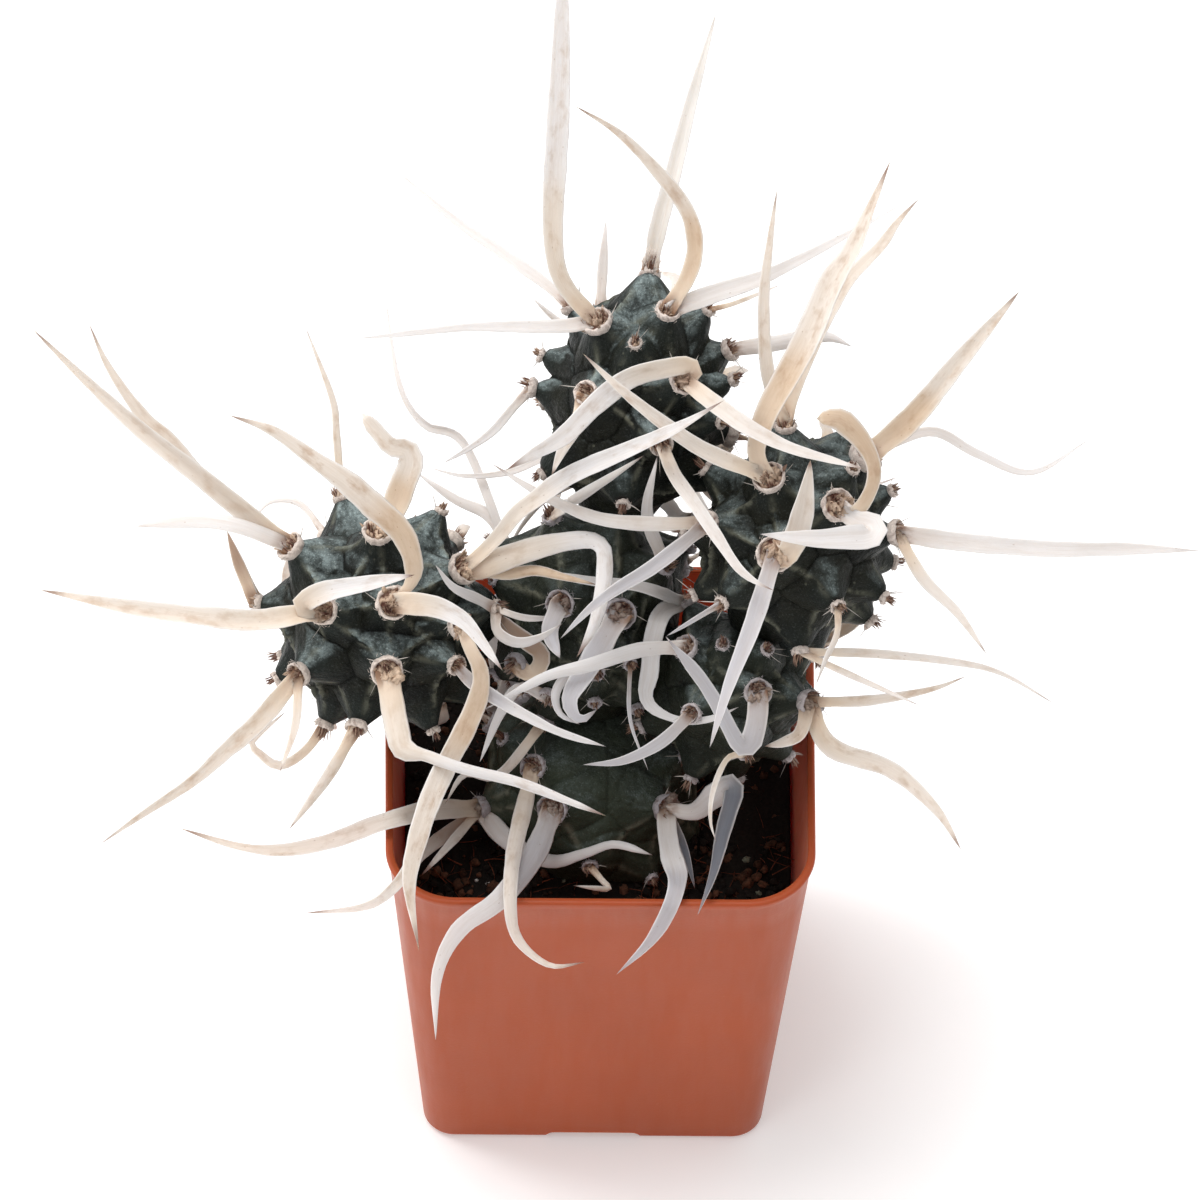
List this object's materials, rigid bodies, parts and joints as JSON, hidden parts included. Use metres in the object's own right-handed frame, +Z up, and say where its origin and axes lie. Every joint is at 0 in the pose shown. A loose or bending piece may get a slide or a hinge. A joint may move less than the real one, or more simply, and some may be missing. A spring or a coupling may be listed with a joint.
{
  "type": "potted paper spine cactus",
  "caption": "Jointed cactus with swollen tubercled segments and long flat papery spines, standing in a tapering square plastic pot filled with dark peat.",
  "frame": {"origin": "centre of the pot's foot, on the surface that the pot stands on", "axes": "+Z up, +Y toward the back of the plant, +X to the right seen from the front; the pot's sides face X and Y"},
  "size_m": [0.2329, 0.1601, 0.2515],
  "materials": {
    "terracotta_plastic": "satin moulded plastic",
    "peat": "dark crumbly peat mix with fibres and small stones",
    "cactus_skin": "waxy grey-green skin with a bluish bloom",
    "paper_spine": "dry ivory paper, brown at the tips",
    "areole_wool": "short greyish wool with brown glochids",
    "stone_grit": "small greenish-grey stones and white perlite"
  },
  "bodies": {
    "root": {"pot": "terracotta_plastic", "soil": "peat", "segment_base": "cactus_skin", "segment_middle": "cactus_skin", "segment_left": "cactus_skin", "segment_right_low": "cactus_skin", "segment_right_top": "cactus_skin", "segment_top": "cactus_skin"}
  },
  "joints": []
}
